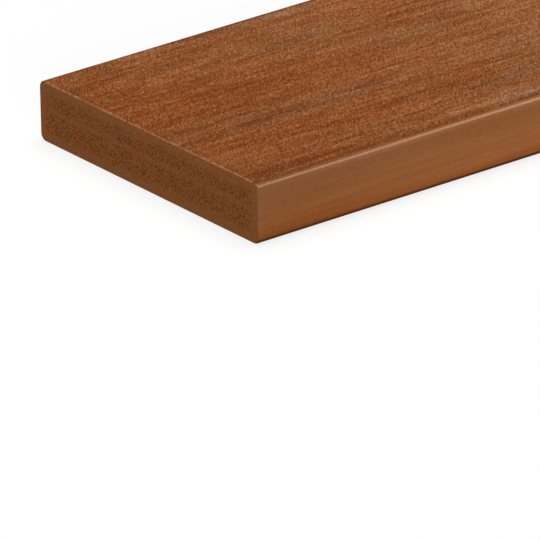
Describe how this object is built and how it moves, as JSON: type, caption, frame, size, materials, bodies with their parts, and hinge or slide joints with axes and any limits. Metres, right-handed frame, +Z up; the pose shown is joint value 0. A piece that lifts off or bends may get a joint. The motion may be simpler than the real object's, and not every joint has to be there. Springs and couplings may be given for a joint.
{
  "type": "decking board",
  "caption": "Solid square-edged decking board with rounded long edges, a wood-grain embossed face and plain sawn ends, for a deck's walking surface.",
  "frame": {"origin": "on the underside, at the middle of the board's length and width", "axes": "+X along the board's length, +Y across its width, +Z up from the underside to the embossed face"},
  "size_m": [2.4384, 0.1396, 0.0254],
  "materials": {
    "capped_board": "matt reddish brown polymer with darker lengthwise streaks, embossed wood grain on the face, smooth satin edges and fine pores on the sawn ends"
  },
  "bodies": {
    "root": {"decking_board": "capped_board"}
  },
  "joints": []
}
